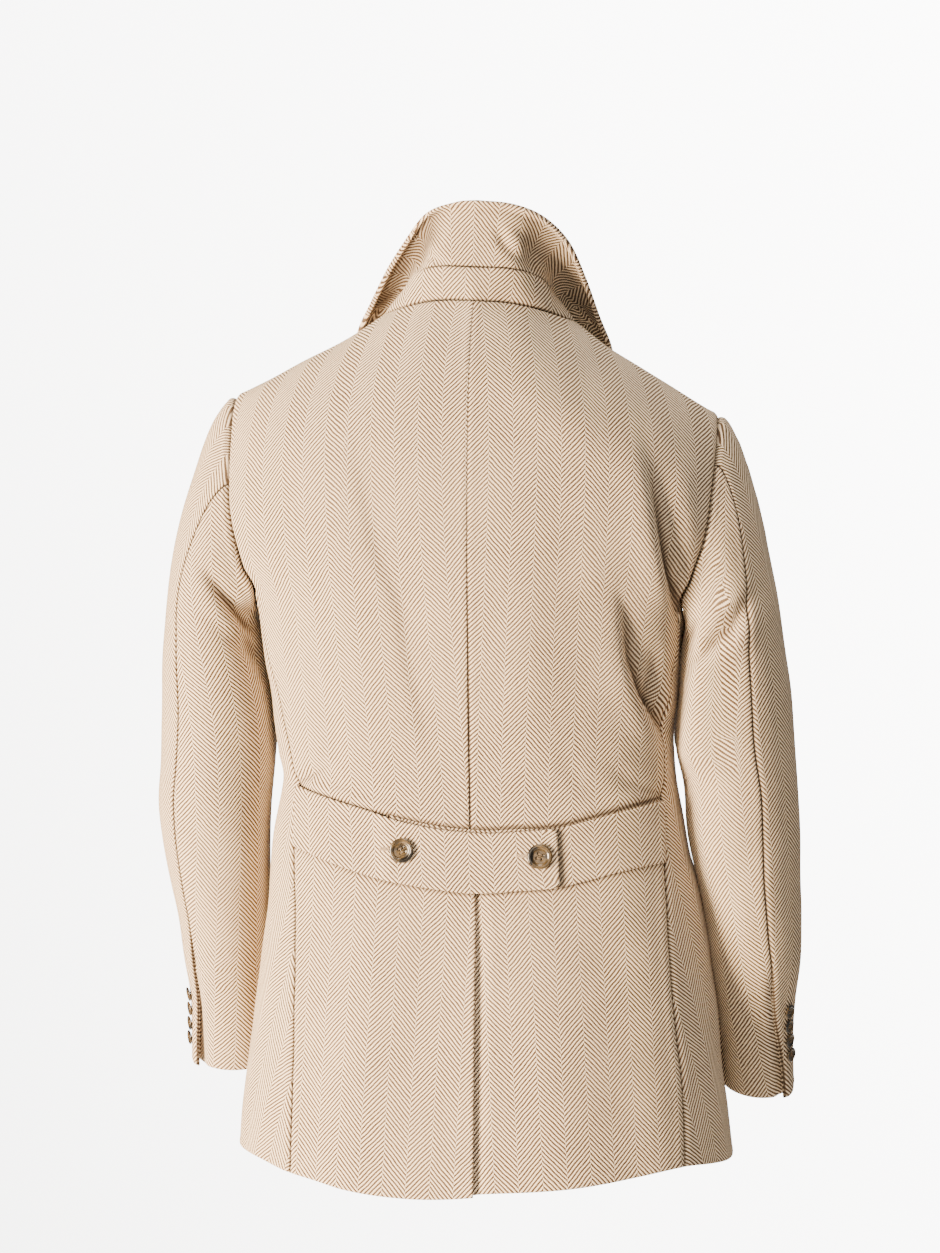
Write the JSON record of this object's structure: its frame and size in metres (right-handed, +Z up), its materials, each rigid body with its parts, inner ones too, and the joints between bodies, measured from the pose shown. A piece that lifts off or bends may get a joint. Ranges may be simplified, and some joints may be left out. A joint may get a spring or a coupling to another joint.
{
  "type": "short coat",
  "caption": "Short straight herringbone wool coat, worn: turned-up collar, half belt with buttons, centre back vent, set-in sleeves with buttoned cuff vents.",
  "frame": {"origin": "centre of the neck opening, level with the side neck points, where the coat hangs on the wearer's neck and shoulders", "axes": "+Z up, -Y the front of the coat, +X the wearer's left"},
  "size_m": [0.6144, 0.2941, 0.9155],
  "materials": {
    "wool": "napped wool cloth, cream and tan herringbone twill, 22 mm columns",
    "horn": "polished mottled horn, olive brown with darker patches, four holes",
    "thread": "twisted sewing thread, tan"
  },
  "bodies": {
    "root": {"back_upper_left": "wool", "back_upper_right": "wool", "back_skirt_left": "wool", "back_skirt_right": "wool", "front_left": "wool", "front_right": "wool", "sleeve_top_left": "wool", "sleeve_top_right": "wool", "sleeve_under_left": "wool", "sleeve_under_right": "wool", "collar_stand": "wool", "collar_leaf": "wool", "belt_left": "wool", "belt_right": "wool", "button_belt_left": "horn", "button_belt_right": "horn", "button_front_1": "horn", "button_front_2": "horn", "button_front_3": "horn", "button_front_4": "horn", "button_cuff_left_1": "horn", "button_cuff_left_2": "horn", "button_cuff_left_3": "horn", "button_cuff_left_4": "horn", "button_cuff_right_1": "horn", "button_cuff_right_2": "horn", "button_cuff_right_3": "horn", "button_cuff_right_4": "horn"}
  },
  "joints": []
}
